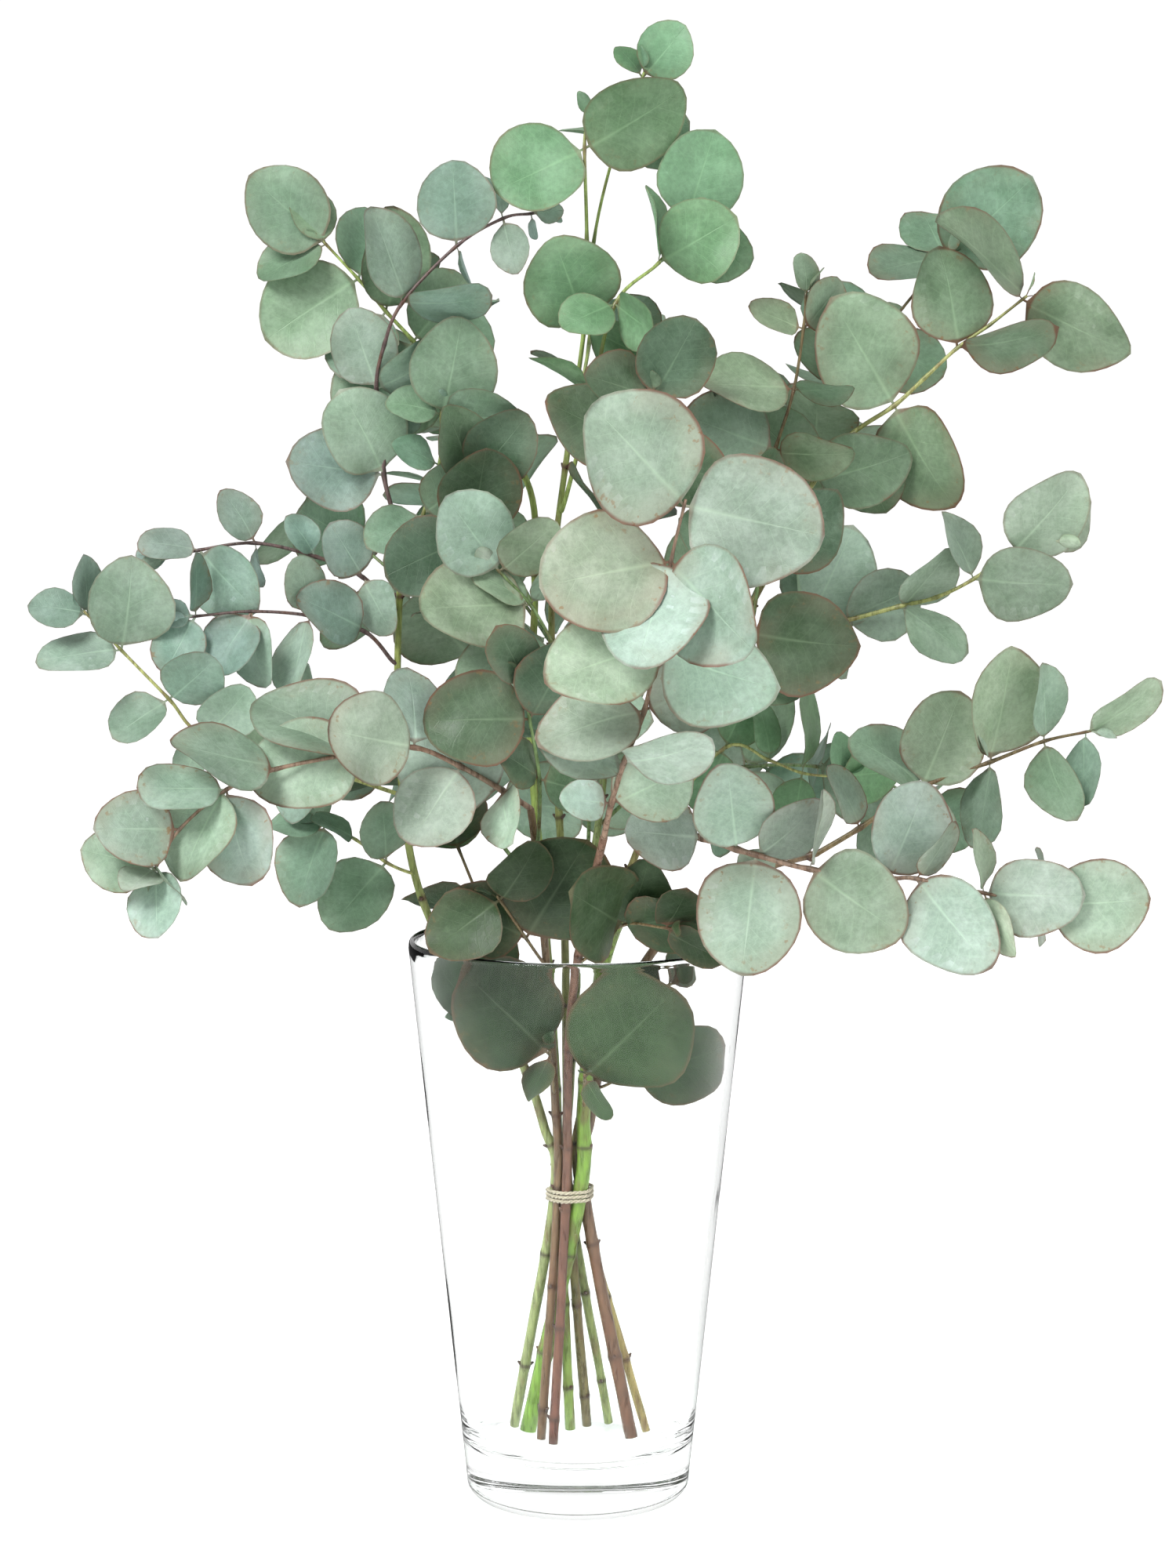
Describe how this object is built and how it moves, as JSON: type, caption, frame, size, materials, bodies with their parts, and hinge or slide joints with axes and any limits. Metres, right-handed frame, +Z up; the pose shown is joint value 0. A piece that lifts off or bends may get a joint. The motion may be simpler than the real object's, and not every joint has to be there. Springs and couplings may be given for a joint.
{
  "type": "eucalyptus bunch in vase",
  "caption": "Twine-tied bunch of cut round-leaf eucalyptus stems with leafy shoots, standing in a clear tapered glass vase with a thick solid base.",
  "frame": {"origin": "middle of the vase's flat bottom, on the surface it stands on", "axes": "+Z up, +X to the right and +Y to the rear as seen from the bunch's front, so the front faces -Y"},
  "size_m": [0.4869, 0.386, 0.6484],
  "materials": {
    "glass": "clear polished soda-lime glass, faintly grey-green in the thick base",
    "twine": "cream two-ply twisted twine, dry and matt",
    "bark": "smooth young bark, green to red-brown, satin, with dark rings at the leaf scars",
    "leaf": "leathery leaf with a waxy grey-green bloom, pale midrib and thin red-brown rim"
  },
  "bodies": {
    "root": {"glass_vase": "glass", "string_tie": "twine", "stem_1": "bark", "stem_2": "bark", "stem_3": "bark", "stem_4": "bark", "stem_5": "bark", "stem_6": "bark", "stem_7": "bark", "stem_8": "bark", "stem_9": "bark", "shoot_top_centre": "leaf", "shoot_top_tip": "leaf", "shoot_top_right": "leaf", "shoot_left_arch": "leaf", "shoot_left_slender": "leaf", "shoot_left_inner": "leaf", "shoot_right_arch": "leaf", "shoot_right_crown": "leaf", "shoot_right_inner": "leaf", "shoot_front_centre": "leaf", "shoot_front_left": "leaf", "shoot_front_right": "leaf", "shoot_right_low": "leaf", "shoot_right_mid": "leaf", "shoot_left_high": "leaf", "shoot_left_mid": "leaf", "shoot_left_low": "leaf", "shoot_rim_left": "leaf", "shoot_right_wisp": "leaf", "shoot_centre_left": "leaf", "shoot_centre_low": "leaf", "shoot_core_left": "leaf", "shoot_core_right": "leaf", "shoot_core_far_right": "leaf", "shoot_over_rim": "leaf", "shoot_rim_dark": "leaf", "shoot_glass_left": "leaf", "shoot_glass_centre": "leaf", "shoot_glass_right": "leaf", "shoot_glass_wall": "leaf", "shoot_glass_edge": "leaf", "shoot_glass_rear": "leaf", "shoot_rear_low_left": "leaf", "shoot_rear_left": "leaf", "shoot_rear_high_left": "leaf", "shoot_rear_crown": "leaf", "shoot_rear_inner_left": "leaf", "shoot_rear_inner_right": "leaf", "shoot_rear_low": "leaf", "shoot_rear_low_right": "leaf", "shoot_rear_right": "leaf", "shoot_rear_high_right": "leaf"}
  },
  "joints": []
}
